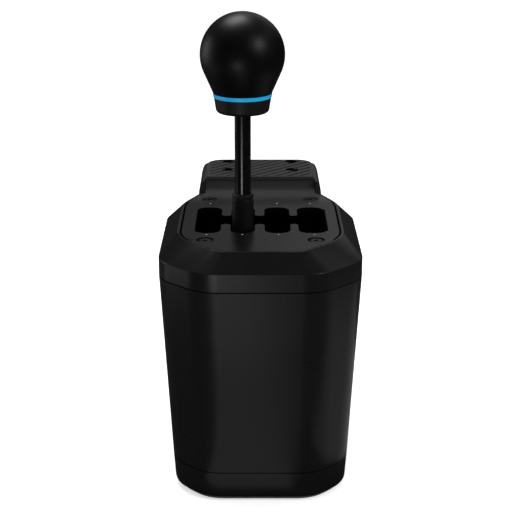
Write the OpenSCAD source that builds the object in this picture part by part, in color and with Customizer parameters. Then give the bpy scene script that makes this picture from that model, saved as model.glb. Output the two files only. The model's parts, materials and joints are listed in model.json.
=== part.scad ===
// H-pattern gear shifter for a racing simulator, with a desk clamp on its back.
// X points right, Y to the rear and Z up. The origin is the middle of the underside.

/* [Housing] */
// Width across the upright band of the top bezel
body_w = 121.5; // [116:0.5:128]
// Depth across the upright band of the top bezel
body_d = 151; // [146:0.5:160]
// How far the front corner facets cut in from the sides, at the band
front_facet_w = 25.75; // [23:0.25:28]
// How far the rear corner facets cut in from the sides, at the band
rear_facet_w = 15.75; // [13:0.25:18]
// How far the front corner facets reach back from the front, at the band
front_facet_d = 25.5; // [22:0.5:29]
// How far the rear corner facets reach forward from the rear, at the band
rear_facet_d = 32.5; // [30:0.5:35]
// Rounding of the upright edges
edge_r = 26; // [23:0.5:29]
// How far each side leans in from the band down to the underside
taper = 7.6; // [5:0.2:8]
// Thickness of the housing walls
wall = 3; // [2.4:0.1:3.4]
// Height of the gate plate's face above the underside
plate_z = 159; // [157:0.5:164]
// Height of the seam between the top bezel and the main shell
seam_z = 137; // [134:0.5:138.5]
// Height of the upright band of the top bezel
band_h = 11.5; // [10:0.1:13]
// Height of the seam between the main shell and the base cover
base_seam_z = 19.3; // [18:0.1:21]
// Rounding of the lower edge of the base cover
base_edge_r = 3; // [2:0.5:4]
// Thickness of the rubber pad under the base
base_pad_t = 2; // [1.5:0.1:3]

/* [Gate plate] */
// Width of the rim round the gate plate
rim_w = 101; // [98:0.5:104]
// Distance of the rim's front edge behind the front of the band
front_shoulder = 10; // [8.5:0.5:11]
// Distance of the rim's rear end ahead of the rear of the band
rear_shoulder = 4.5; // [3.5:0.5:5.5]
// Width of the front of the rim, out to its corners
rim_front_w = 51; // [48:0.5:54]
// How far the rim's front facets reach back from its front edge
rim_front_facet_d = 26; // [24.5:0.5:27.5]
// How far the rim's rear facets reach forward from its rear end
rim_rear_facet_d = 33; // [31:0.5:35]
// Rounding from the rim's sides into its corner facets
rim_side_r = 40; // [36:0.5:41]
// Rounding from the rim's front facets into its front
rim_front_r = 14; // [12:0.5:16]
// Thickness of the gate plate
plate_t = 3.7; // [3.4:0.1:4.2]
// Distance between neighbouring gear slots
slot_pitch = 21.6; // [21:0.1:22.2]
// Width of the channel that joins the slots
channel_w = 18; // [17:0.1:19]
// Corner radius of the slots
slot_r = 6.5; // [4:0.5:6.5]
// Width of the tab that runs back from the plate and up to the hook
tab_w = 73; // [70:0.5:76]
// Distance of the plate screws from the rim's outside
plate_screw_inset = 11; // [10.6:0.1:11.4]
// Direction of the front plate screws, seen from the centre of the rim's rounding
plate_screw_front_turn = 39.5; // [38:0.5:41]
// Direction of the rear plate screws, seen from the centre of the rim's rounding
plate_screw_rear_turn = 39; // [38:0.5:40]

/* [Lever] */
// Diameter of the lever rod
rod_d = 10; // [9:0.1:11]
// Diameter of the sleeve that runs in the slots
sleeve_d = 13.3; // [12.8:0.1:13.8]
// Height of the sleeve's upper end above the gate plate
sleeve_rise = 17.2; // [12:0.2:30]
// Radius of the round top of the knob
knob_r = 25.6; // [22:0.1:28]
// Height of the middle of the knob's round top above the gate plate
knob_h = 102.9; // [98:0.1:110]
// Height of the coloured ring's lower edge above the gate plate
ring_h = 77.4; // [74:0.1:79]
// Height of the coloured ring
ring_t = 2.4; // [1.5:0.1:3]
// Radius of the knob at the coloured ring
ring_r = 17.9; // [16.5:0.1:19]
// Height of the collar below the coloured ring
collar_t = 9.4; // [8:0.1:11]
// Radius of the collar's lower end
collar_r = 16.3; // [14.5:0.1:17]

/* [Mechanism] */
// Height of the lever's pivot above the underside
pivot_z = 40; // [39:0.5:42]
// Tilt of the lever into a gear, fore and aft
gear_tilt = 8.5; // [8:0.1:8.7]
// Diameter of the fore and aft axle that the lever swings across on
select_axle_d = 12; // [11:0.5:13]
// Diameter of the cross pin that the lever tilts on
lever_pin_d = 8; // [7:0.5:8.5]
// Half width of the window in the gimbal yoke
yoke_window_x = 14; // [13.5:0.1:15]
// Half length of the window in the gimbal yoke
yoke_window_y = 14; // [13:0.2:15]
// Thickness of the yoke's walls
yoke_wall = 8; // [7:0.5:9]
// Height of the yoke
yoke_h = 15; // [14.5:0.5:16]
// Thickness of the chassis plate and of its uprights
chassis_t = 5; // [4:0.5:6]

/* [Desk clamp] */
// Width of the hook that lies on the desk
hook_w = 82; // [80:0.2:85]
// Height of the hook's top face, grip pad included, above the gate plate
hook_rise = 9.6; // [8.8:0.1:11]
// How far the hook reaches to the rear of its back plate
hook_l = 38; // [35:0.5:44]
// Height of the hook's solid part
hook_t = 17; // [15:0.5:19]
// Width of the ribbed grip pad on the hook
grip_w = 72; // [68:0.5:73]
// Thickness of the grip pad, ribs included
grip_t = 2.2; // [1.8:0.1:3]
// Spacing of the grip pad's ribs
rib_pitch = 8.2; // [7:0.2:9.4]
// Spacing of the hook's bolt holes across
hook_bolt_x = 44; // [42:0.5:47]
// Spacing of the hook's bolt holes from front to rear
hook_bolt_y = 23; // [20:0.5:24]
// Diameter of the hook's bolt holes
hook_bolt_d = 6.6; // [5.5:0.1:7]
// Open height of the clamp, between its pads
throat = 47; // [44:0.5:50]
// Travel of the clamp screw
clamp_travel = 40; // [36:0.5:41]
// Diameter of the clamp screw
clamp_screw_d = 10; // [9:0.5:11]
// Diameter of the clamp's pressure pad
clamp_pad_d = 30; // [26:0.5:31]
// Outer diameter of the star grip under the clamp screw
star_d = 30; // [27:0.5:31]

/* [Hidden] */
$fn = 64;

// Clearances and small shared sizes; a cut runs past its face by the length given here
eps = 0.01;
cut = 1;
seat = 0.02;
run_gap = 0.05;
seam_gap = 0.4;
lip_gap = 0.15;
move_gap = 0.4;
slot_gap = 0.8;
slot_end_gap = 2.6;
lip_t = 1.5;
lip_h = 6;
lip_drop = 2.6;
hull_fn = 48;

// Small machine screw that every fixing uses
screw_d = 4;
screw_hole_d = 4.4;
screw_pilot_d = 4.06;
screw_head_d = 7.6;
screw_head_t = 2.2;
head_gap = 0.5;
counterbore_d = screw_head_d + 2 * head_gap;
screw_bite = 14;
screw_tip_gap = 1;
hex_key_d = 2.9;
hex_key_depth = 1.2;

// Lever and gate geometry
lever_x = -slot_pitch / 2;
reach = plate_z - pivot_z;
sleeve_r = sleeve_d / 2;
rod_r = rod_d / 2;
slot_steps = [-1, 0, 1, 2];
outer_step = 2;
tip_round = 0.56;
function slot_tan(k) = k * slot_pitch / reach;
function slot_lo(k) = lever_x + k * slot_pitch * (k > 0 ? 1 - plate_t / reach : 1)
    - sleeve_r * norm([1, slot_tan(k)]) - slot_gap;
function slot_hi(k) = lever_x + k * slot_pitch * (k < 0 ? 1 - plate_t / reach : 1)
    + sleeve_r * norm([1, slot_tan(k)]) + slot_gap;
gear_slope = tan(gear_tilt) * norm([1, slot_tan(outer_step)]);
slot_half = reach * gear_slope + sleeve_r * norm([1, gear_slope]) + slot_end_gap;

// Outlines: the front and the rear half of an octagon, each as
// [half width, depth, half end flat, half side flat, side radius, end radius]
rim_rear_r = 10;
rim_front = body_d / 2 - front_shoulder;
rim_rear = body_d / 2 - rear_shoulder;
taper_share = 0.2;
taper_step = taper * [1, 1, taper_share, taper_share, 0, 0];
band_plan = [
    [body_w / 2, body_d / 2, body_w / 2 - front_facet_w, body_d / 2 - front_facet_d, edge_r, edge_r],
    [body_w / 2, body_d / 2, body_w / 2 - rear_facet_w, body_d / 2 - rear_facet_d, edge_r, edge_r]
];
rim_plan = [
    [rim_w / 2, rim_front, rim_front_w / 2, rim_front - rim_front_facet_d, rim_side_r, rim_front_r],
    [rim_w / 2, rim_rear, tab_w / 2, rim_rear - rim_rear_facet_d, rim_side_r, rim_rear_r]
];
foot_plan = [for (half = band_plan) half - taper_step];
function facet_normal(p) = [p[1] - p[3], p[0] - p[2]] / norm([p[1] - p[3], p[0] - p[2]]);
function facet_middle(p) = ([p[0], p[3]] + [p[2], p[1]]) / 2;
function facet_reach(p, r) = facet_normal(p) * [p[0], p[3]] - r;
function side_corner(p) = [p[0] - p[4],
    (facet_reach(p, p[4]) - facet_normal(p)[0] * (p[0] - p[4])) / facet_normal(p)[1]];
function end_corner(p) = [
    (facet_reach(p, p[5]) - facet_normal(p)[1] * (p[1] - p[5])) / facet_normal(p)[0], p[1] - p[5]];
function corner_arcs(p) = [[side_corner(p), p[4]], [end_corner(p), p[5]]];
function lean(z) = min((z - base_pad_t) / (seam_z - base_pad_t), 1);
function plan_at(z) = foot_plan + (band_plan - foot_plan) * lean(z);
function rear_wall_y(z) = plan_at(z)[1][1];

// Levels
band_top_z = seam_z + band_h;
ledge_z = plate_z - plate_t;
rim_edge = 1.6;
rim_lip = 0.3;
plate_edge = rim_edge + seam_gap;
ledge_w = 5.4;
ledge_t = 3;
floor_z = base_pad_t + wall;
chassis_z = 12;
chassis_top = chassis_z + chassis_t;

// Housing fixings
base_post_r = 5.5;
base_post_top = base_seam_z + seam_gap;
post_rib_t = 4;
edge_step = 15;
pad_margin = 1;
pad_edge = base_edge_r + pad_margin;
pad_hole_r = screw_head_d / 2 + pad_margin;
post_margin = 2;
post_inset = pad_edge + pad_hole_r + post_margin;
function post_at(half) = facet_middle(foot_plan[half]) - facet_normal(foot_plan[half]) * post_inset;
function post_turn(half) = atan2(facet_normal(foot_plan[half])[1], facet_normal(foot_plan[half])[0]);
shell_boss_h = 20;
base_screw_l = base_post_top + screw_bite - floor_z;
chassis_hole_x = 22;
chassis_hole_y = 24;
plate_screw_l = 12;
plate_screw_turn = [plate_screw_front_turn, plate_screw_rear_turn];
function plate_screw_at(half) = side_corner(rim_plan[half])
    + (rim_plan[half][4] - plate_screw_inset) * [cos(plate_screw_turn[half]), sin(plate_screw_turn[half])];
plate_boss_r = 6.5;
plate_boss_h = 14;
plate_recess_r = 5.2;
head_sink = 0.3;
plate_recess_depth = screw_head_t + head_sink;

// Ramp from the gate plate up to the hook
ramp_inset = 12;
ramp_y = body_d / 2 - ramp_inset;
ramp_r = 7;
ramp_turn = 68;
ramp_t = 2.6;
ramp_steps = 8;
ramp_root = 4;
hook_top_z = plate_z + hook_rise;
hook_solid_z = hook_top_z - grip_t;
hook_base_z = hook_solid_z - hook_t;
ramp_top_z = hook_solid_z - move_gap;
ramp_lean = ramp_r * sin(ramp_turn);
ramp_lift = ramp_r * (1 - cos(ramp_turn));
ramp_run = (ramp_top_z - plate_z - ramp_lift) / tan(ramp_turn);
ramp_end_y = ramp_y + ramp_lean + ramp_run;

// Hook and clamp
hook_inset = 9.5;
hook_front_y = body_d / 2 - hook_inset;
hook_corner_r = 12;
hook_flank_h = 9.6;
flank_steps = 6;
grip_overhang = 0.8;
grip_front_y = ramp_end_y - grip_overhang;
grip_inset = 1.5;
groove_w = 2;
groove_depth = 0.9;
groove_turn = 45;
groove_margin = 1.8;
under_pad_t = 2.5;
under_pad_w = 68;
pad_hole_gap = 0.8;
pad_hole_d = hook_bolt_d + 2 * pad_hole_gap;
back_plate_w = 62;
back_plate_t = 6.5;
back_face_y = body_d / 2 + back_plate_t;
hook_y = back_face_y + hook_l;
bolt_setback = 19.5;
bolt_mid_y = back_face_y + bolt_setback;
back_pad_t = 2;
back_pad_w = 30;
back_pad_inset = 8;
arm_w = 40;
arm_t = 14;
arm_l = 35;
arm_y = back_face_y + arm_l;
facing_t = 2.5;
clamp_pad_t = 6;
clamp_tip_d = 8;
clamp_tip_h = 4;
under_pad_z = hook_base_z - under_pad_t;
facing_z = under_pad_z - throat;
clamp_pad_z = facing_z - facing_t - clamp_pad_t;
clamp_rest_gap = 2.5;
arm_top = clamp_pad_z - clamp_rest_gap;
arm_base = arm_top - arm_t;
pad_gap = 2;
clamp_y = back_face_y + back_pad_t + clamp_pad_d / 2 + pad_gap;
clamp_nut_r = 8;
star_h = 18;
star_lobe_r = 4.2;
star_lobes = 6;
star_gap = 1;
star_top = arm_base - clamp_travel - star_gap;
star_base = star_top - star_h;
screw_grip_h = 14;
bracket_screw_x = 24;
bracket_screw_drop = 10;
bracket_screw_top = seam_z - bracket_screw_drop;
bracket_screw_low = arm_base + arm_t / 2;
bracket_screw_l = 20;
bracket_head_depth = 4.5;
bracket_boss_l = 12;
facing_inset = 1;

// Gimbal
flange_t = 1.2;
flange_w = 1.5;
lever_bush_t = 2;
lever_bush_r = lever_pin_d / 2 + lever_bush_t;
flange_r = lever_bush_r + flange_w;
hub_x = yoke_window_x - flange_t - move_gap;
hub_y = 8;
hub_base = 15;
hub_stem_r = 7;
hub_neck_r = 9;
hub_top = 21;
pin_out = 1.5;
lever_pin_end = yoke_window_x + yoke_wall + pin_out;
axle_wall = 1;
axle_start = yoke_window_y + axle_wall;
spring_wire = 1.6;
spring_turns = 5;
spring_pitch = 1.5;
spring_r = select_axle_d / 2 + spring_wire;
spring_y = yoke_window_y + yoke_wall + seat;
spring_l = (spring_turns - 1) * spring_pitch + spring_wire;
upright_y = spring_y + spring_l + seat;
upright_w = 30;
upright_r = upright_w / 2;
chassis_edge = 0.5;
chassis_half_l = upright_y + chassis_t + chassis_edge;
select_bush_t = 2.5;
select_bush_r = select_axle_d / 2 + select_bush_t;
axle_out = 2;
axle_end = upright_y + chassis_t + axle_out;
magnet_r = 3;
magnet_t = 2;
sensor_gap = 1.5;
board_t = 1.6;
select_board_w = 22;
select_board_h = 22;
select_board_y = axle_end + magnet_t + sensor_gap;
select_post_x = 9.5;
select_post_z = 5;
gear_board_w = 16;
gear_board_h = 16;
gear_board_x = lever_pin_end + magnet_t + sensor_gap;
board_pin_r = 1.5;
gear_post = 5.5;

// Levels along the lever
rod_wall = 1;
rod_base_z = pivot_z + lever_pin_d / 2 + rod_wall;
hub_top_z = pivot_z + hub_top;
sleeve_top_z = plate_z + sleeve_rise;
sleeve_rim_h = 2.4;
sleeve_groove_h = 1.2;
sleeve_groove_depth = 0.6;
ring_z = plate_z + ring_h;
ring_flare = 0.3;
collar_z = ring_z - collar_t;
collar_edge = 2.5;
collar_floor = 2;
collar_step = 0.5;
knob_base_z = ring_z + ring_t;
knob_z = plate_z + knob_h;
knob_step = 6;
insert_r = 8;
insert_drop = 8;
insert_base_z = collar_z + collar_floor;
insert_top_z = knob_z - insert_drop;

// Detent
ball_r = 1.5;
tip_reach = 19.5;
ball_reach = tip_reach - ball_r;
plunger_r = 3.2;
plunger_in = 6;
plunger_bore_depth = 8.5;
notch_gap = 1;
notch_r = ball_r + notch_gap;
crest_reach = tip_reach + move_gap;
cradle_w = 30;
cradle_l = 18;
cradle_h = 5.5;
detent_wire = 0.8;
detent_gap = 0.3;
detent_spring_r = plunger_r - detent_gap;

// Electronics
main_board_w = 34;
main_board_l = 16;
main_board_z = 10;
board_post_r = 2.5;
port_inset = 34.75;
port_x = body_w / 2 - port_inset;
port_w = 8.94;
port_h = 3.2;
port_l = 8;
port_wall = 0.35;
port_back_t = 1;
port_recess_w = 13;
port_recess_h = 7.5;
port_z = main_board_z + board_t + port_h / 2;
port_face_y = rear_wall_y(port_z) - wall / 2;
board_x = port_x + port_w / 2 - main_board_w / 2;
board_y = port_face_y - port_l / 2 - main_board_l / 2;

// Upright loft between two outlines, each a plan and its inset
module slice(plan, inset, z, h = eps) {
    for (sx = [-1, 1], half = [0, 1], arc = corner_arcs(plan[half]))
        translate([sx * arc[0][0], (2 * half - 1) * arc[0][1], z])
            cylinder(r = arc[1] - inset, h = h, $fn = hull_fn);
}

module prism(plan, inset, z, h) {
    hull() slice(plan, inset, z, h);
}

module loft(plan_a, inset_a, z_a, plan_b, inset_b, z_b) {
    hull() {
        slice(plan_a, inset_a, z_a);
        slice(plan_b, inset_b, z_b - eps);
    }
}

// Outside of the main shell between two heights, moved inwards by an inset
module body_loft(z_a, z_b, inset) {
    loft(plan_at(z_a), inset, z_a, plan_at(z_b), inset, z_b);
}

// Outside of the top bezel
module bezel_loft() {
    hull() {
        slice(band_plan, 0, seam_z, band_h);
        slice(rim_plan, 0, plate_z - rim_lip, rim_lip);
    }
}

// Space that the whole housing takes up, with a gap round it
module housing_space(gap) {
    hull() {
        slice(foot_plan, -gap, 0);
        slice(band_plan, -gap, seam_z, band_h);
        slice(rim_plan, -gap, plate_z - rim_lip, rim_lip);
    }
}

// The four corners of a rectangle
module at_corners(x, y) {
    for (sx = [-1, 1], sy = [-1, 1])
        translate([sx * x, sy * y, 0]) children();
}

// Places of the posts behind the corner facets, with X along each facet's normal
module at_posts() {
    for (mx = [0, 1], half = [0, 1])
        mirror([mx, 0, 0]) mirror([0, 1 - half, 0])
            translate([post_at(half)[0], post_at(half)[1], 0]) rotate([0, 0, post_turn(half)]) children();
}

// Places of the gate plate's screws
module at_plate_screws() {
    for (sx = [-1, 1], half = [0, 1])
        translate([sx * plate_screw_at(half)[0], (2 * half - 1) * plate_screw_at(half)[1], 0]) children();
}

// Places of the screws that hold the clamp bracket, with Z along the screw into the shell
module at_bracket_screws() {
    for (sx = [-1, 1], z = [bracket_screw_low, bracket_screw_top])
        translate([sx * bracket_screw_x, back_face_y, z]) rotate([90, 0, 0]) children();
}

// Places of the hook's bolt holes
module at_hook_bolts() {
    translate([0, bolt_mid_y, 0])
        at_corners(hook_bolt_x / 2, hook_bolt_y / 2) children();
}

// Machine screw with its head's underside at Z = 0 and its shank down
module screw(shank_l) {
    difference() {
        union() {
            cylinder(d = screw_head_d, h = screw_head_t);
            translate([0, 0, -shank_l]) cylinder(d = screw_d, h = shank_l + eps);
        }
        translate([0, 0, screw_head_t - hex_key_depth])
            cylinder(d = hex_key_d, h = hex_key_depth + eps, $fn = 6);
    }
}

// Box with upright round edges
module round_box(lo, hi, r) {
    translate([lo[0] + r, lo[1], lo[2]]) cube([hi[0] - lo[0] - 2 * r, hi[1] - lo[1], hi[2] - lo[2]]);
    translate([lo[0], lo[1] + r, lo[2]]) cube([hi[0] - lo[0], hi[1] - lo[1] - 2 * r, hi[2] - lo[2]]);
    for (x = [lo[0] + r, hi[0] - r], y = [lo[1] + r, hi[1] - r])
        translate([x, y, lo[2]]) cylinder(r = r, h = hi[2] - lo[2]);
}

// Cylinder along Y from y_a to y_b, at the lever pivot
module axle_along_y(r, y_a, y_b) {
    translate([lever_x, y_b, pivot_z]) rotate([90, 0, 0]) cylinder(r = r, h = y_b - y_a);
}

// Cylinder along X from x_a to x_b, measured from the lever
module pin_along_x(r, x_a, x_b) {
    translate([lever_x + x_a, 0, pivot_z]) rotate([0, 90, 0]) cylinder(r = r, h = x_b - x_a);
}

// Rubber pad that the shifter stands on
module base_pad() {
    color("dimgray") difference() {
        prism(foot_plan, pad_edge, 0, base_pad_t);
        at_posts()
            translate([0, 0, -cut]) cylinder(r = pad_hole_r, h = base_pad_t + 2 * cut);
    }
}

// Tray that closes the housing from below, with posts for the chassis and the shell
module base_cover() {
    color([0.12, 0.12, 0.13]) difference() {
        union() {
            difference() {
                hull() {
                    for (a = [0:edge_step:90])
                        slice(foot_plan, base_edge_r * (1 - sin(a)), base_pad_t + base_edge_r * (1 - cos(a)));
                    slice(plan_at(base_seam_z), 0, base_seam_z - eps);
                }
                body_loft(floor_z, base_seam_z + cut, wall + lip_gap + lip_t);
                body_loft(base_seam_z - lip_drop - seam_gap, base_seam_z + 2 * cut, wall);
            }
            translate([board_x, board_y, 0])
                at_corners(main_board_w / 2 - board_post_r, main_board_l / 2 - board_post_r)
                    translate([0, 0, floor_z - eps])
                        cylinder(r = board_post_r, h = main_board_z - floor_z + eps);
            at_posts()
                translate([0, 0, floor_z - eps]) cylinder(r = base_post_r, h = base_post_top - floor_z + eps);
            translate([lever_x, 0, floor_z - eps])
                at_corners(chassis_hole_x, chassis_hole_y)
                    cylinder(r = base_post_r, h = chassis_z - floor_z + eps);
        }
        at_posts() {
            cylinder(d = screw_hole_d, h = base_post_top + cut);
            cylinder(d = counterbore_d, h = floor_z);
        }
        translate([lever_x, 0, floor_z])
            at_corners(chassis_hole_x, chassis_hole_y) cylinder(d = screw_pilot_d, h = chassis_z);
        translate([port_x - port_w / 2 - seat, port_face_y - port_l, port_z - port_h / 2 - seat])
            cube([port_w + 2 * seat, body_d, port_h + 2 * seat]);
        translate([port_x - port_recess_w / 2, port_face_y, port_z - port_recess_h / 2])
            cube([port_recess_w, body_d, port_recess_h]);
    }
}

// Screws from below that hold the base cover to the shell
module base_screws() {
    color("silver")
        at_posts()
            translate([0, 0, floor_z]) rotate([180, 0, 0]) screw(base_screw_l);
}

// Tapered main shell, open above and below, with bosses for the base and the clamp bracket
module main_shell() {
    color([0.1, 0.1, 0.11]) difference() {
        union() {
            difference() {
                union() {
                    body_loft(base_seam_z, seam_z, 0);
                    body_loft(base_seam_z - lip_drop, base_seam_z + lip_h, wall + lip_gap);
                    body_loft(seam_z - lip_h, seam_z + lip_h, wall + lip_gap);
                }
                body_loft(base_seam_z + lip_h, seam_z - lip_h, wall);
                body_loft(base_seam_z - lip_h, base_seam_z + lip_h + cut, wall + lip_gap + lip_t);
                body_loft(seam_z - lip_h - cut, seam_z + lip_h + cut, wall + lip_gap + lip_t);
            }
            at_posts()
                translate([0, 0, base_post_top]) {
                    cylinder(r = base_post_r, h = shell_boss_h);
                    translate([0, -post_rib_t / 2, 0])
                        cube([post_inset - wall / 2, post_rib_t, shell_boss_h]);
                }
            for (sx = [-1, 1], z = [bracket_screw_low, bracket_screw_top])
                translate([sx * bracket_screw_x, rear_wall_y(z) - wall / 2, z])
                    rotate([90, 0, 0]) cylinder(r = base_post_r, h = bracket_boss_l);
        }
        at_posts()
            translate([0, 0, base_post_top - eps]) cylinder(d = screw_pilot_d, h = shell_boss_h - wall);
        at_bracket_screws() cylinder(d = screw_pilot_d, h = bracket_screw_l + cut);
    }
}

// Top bezel: an upright band, facets that lean in to the rim, and a ledge for the gate plate
module top_bezel() {
    opening = rim_edge + ledge_w;
    color([0.09, 0.09, 0.1]) difference() {
        union() {
            difference() {
                bezel_loft();
                hull() {
                    slice(band_plan, wall, seam_z - cut, band_h + cut - wall / 2);
                    slice(rim_plan, opening + ledge_t / 2, ledge_z - ledge_t);
                }
                prism(rim_plan, opening, band_top_z - wall, plate_z);
                prism(rim_plan, rim_edge, ledge_z, plate_z);
                translate([-tab_w / 2 - seam_gap, 0, ledge_z])
                    cube([tab_w + 2 * seam_gap, body_d, plate_z]);
            }
            at_plate_screws()
                translate([0, 0, ledge_z - plate_boss_h])
                    cylinder(r = plate_boss_r, h = plate_boss_h - seat);
        }
        at_plate_screws()
            translate([0, 0, ledge_z - plate_screw_l]) cylinder(d = screw_pilot_d, h = plate_screw_l + cut);
    }
}

// One gear slot, long enough for the tilted sleeve
module slot_cut(k) {
    round_box([slot_lo(k), -slot_half, ledge_z - cut], [slot_hi(k), slot_half, plate_z + cut], slot_r);
}

// Channel past the fingers between slot k and the next, with round finger tips left standing
module channel_cut(k) {
    x = (slot_hi(k) + slot_lo(k + 1)) / 2;
    finger_w = slot_lo(k + 1) - slot_hi(k);
    tip_r = finger_w * tip_round;
    y = channel_w / 2 + tip_r;
    difference() {
        translate([x - finger_w, -y, ledge_z - cut]) cube([2 * finger_w, 2 * y, plate_t + 2 * cut]);
        for (sy = [-1, 1])
            translate([x, sy * y, ledge_z - 2 * cut]) cylinder(r = tip_r, h = plate_t + 4 * cut);
    }
}

// Side view of the ramp: an arc that turns up, a straight wall, and the same at its back
function ramp_arc(r) = [for (i = [0:ramp_steps]) let(a = ramp_turn * i / ramp_steps)
    [ramp_y + r * sin(a), plate_z + ramp_r - r * cos(a)]];
function reversed(list) = [for (i = [len(list) - 1:-1:0]) list[i]];
function ramp_end(r) = [ramp_y + r * sin(ramp_turn) + ramp_run + (ramp_r - r) * cos(ramp_turn)
    / tan(ramp_turn), ramp_top_z];
ramp_side = concat([[ramp_y - ramp_root, plate_z]], ramp_arc(ramp_r), [ramp_end(ramp_r)],
    [ramp_end(ramp_r + ramp_t)], reversed(ramp_arc(ramp_r + ramp_t)),
    [[ramp_y - ramp_root, plate_z - ramp_t]]);

// Gate plate with its H slots and the tab that ramps up to the hook
module gate_plate() {
    color([0.2, 0.2, 0.2]) difference() {
        union() {
            intersection() {
                prism(rim_plan, plate_edge, ledge_z, plate_t);
                translate([-body_w, ramp_y - 2 * body_d, 0]) cube([2 * body_w, 2 * body_d, 2 * plate_z]);
            }
            translate([-tab_w / 2, 0, 0]) rotate([90, 0, 90]) linear_extrude(tab_w) polygon(ramp_side);
        }
        for (k = slot_steps) slot_cut(k);
        for (k = [-1:1]) channel_cut(k);
        at_plate_screws() {
            translate([0, 0, ledge_z - cut]) cylinder(d = screw_hole_d, h = plate_t + 2 * cut);
            translate([0, 0, plate_z - plate_recess_depth])
                cylinder(r = plate_recess_r, h = plate_recess_depth + cut);
        }
    }
}

module plate_screws() {
    color([0.3, 0.3, 0.3])
        at_plate_screws()
            translate([0, 0, plate_z - plate_recess_depth]) screw(plate_screw_l);
}

// Chassis: a plate on the base posts with two uprights for the fore and aft axle
module chassis_frame() {
    color("slategray") difference() {
        union() {
            translate([lever_x, 0, chassis_z])
                round_box([-chassis_hole_x - base_post_r, -chassis_half_l, 0],
                    [chassis_hole_x + base_post_r, chassis_half_l, chassis_t], base_post_r);
            for (y = [-upright_y - chassis_t, upright_y]) {
                axle_along_y(upright_r, y, y + chassis_t);
                translate([lever_x - upright_r, y, chassis_top - eps])
                    cube([upright_w, chassis_t, pivot_z - chassis_top + eps]);
            }
            for (side = [-1, 1])
                translate([lever_x + side * select_post_x, select_board_y, pivot_z + select_post_z])
                    rotate([90, 0, 0]) cylinder(r = board_pin_r, h = select_board_y - upright_y);
        }
        axle_along_y(select_bush_r + seat, -body_d / 2, body_d / 2);
        translate([lever_x, 0, chassis_z - cut])
            at_corners(chassis_hole_x, chassis_hole_y) cylinder(d = screw_hole_d, h = chassis_t + 2 * cut);
    }
}

module chassis_screws() {
    color("silver")
        translate([lever_x, 0, chassis_top])
            at_corners(chassis_hole_x, chassis_hole_y) screw(chassis_top - floor_z - screw_tip_gap);
}

// Bushes in the uprights
module select_bushes() {
    color("goldenrod")
        for (y = [-upright_y - chassis_t, upright_y])
            difference() {
                axle_along_y(select_bush_r, y, y + chassis_t);
                axle_along_y(select_axle_d / 2 + run_gap, y - cut, y + chassis_t + cut);
            }
}

// Groove that one lever position leaves in the detent cradle, turned about the fore and aft axle
module detent_groove(tilt) {
    translate([lever_x, ball_reach * sin(tilt), pivot_z]) rotate([90, 0, 0])
        rotate_extrude() translate([ball_reach * cos(tilt), 0]) circle(r = notch_r);
}

// Cradle under the lever with a groove for neutral and one for each row of gears
module detent_cradle() {
    color("ivory") difference() {
        translate([lever_x - cradle_w / 2, -cradle_l / 2, chassis_top])
            cube([cradle_w, cradle_l, cradle_h]);
        axle_along_y(crest_reach, -cradle_l, cradle_l);
        for (tilt = [-gear_tilt, 0, gear_tilt]) detent_groove(tilt);
    }
}

// Close-wound torsion springs that bring the lever back to the middle plane
module select_springs() {
    color("gray")
        for (side = [-1, 1])
            for (i = [0:spring_turns - 1])
                translate([lever_x, side * (spring_y + spring_wire / 2 + i * spring_pitch), pivot_z])
                    rotate([90, 0, 0]) rotate_extrude() translate([spring_r, 0]) circle(d = spring_wire);
}

// Small board that reads the turn of the fore and aft axle
module select_sensor_board() {
    color("darkgreen")
        translate([lever_x - select_board_w / 2, select_board_y, pivot_z - select_board_h / 2])
            cube([select_board_w, board_t, select_board_h]);
}

// Control board on the base, with the port at its rear edge
module main_board() {
    color("darkgreen")
        translate([board_x - main_board_w / 2, board_y - main_board_l / 2, main_board_z])
            cube([main_board_w, main_board_l, board_t]);
}

// Port for a lead: a metal shell, open to the rear
module usb_port() {
    inner_w = port_w - 2 * port_wall;
    inner_h = port_h - 2 * port_wall;
    color("silver") translate([port_x, port_face_y, port_z]) rotate([90, 0, 0]) difference() {
        round_box([-port_w / 2, -port_h / 2, 0], [port_w / 2, port_h / 2, port_l], port_h / 2 - eps);
        round_box([-inner_w / 2, -inner_h / 2, -cut], [inner_w / 2, inner_h / 2, port_l - port_back_t],
            inner_h / 2 - eps);
    }
}

// Side view of the hook's flanks, across the hook
hook_shoulder = grip_w / 2 + grip_inset;
flank = [for (i = [0:flank_steps]) let(a = 90 * i / flank_steps)
    [hook_shoulder + (hook_w / 2 - hook_shoulder) * sin(a), hook_solid_z - hook_flank_h * (1 - cos(a))]];
hook_section = concat(flank, [[hook_w / 2, hook_base_z], [-hook_w / 2, hook_base_z]],
    [for (p = reversed(flank)) [-p[0], p[1]]]);

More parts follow.
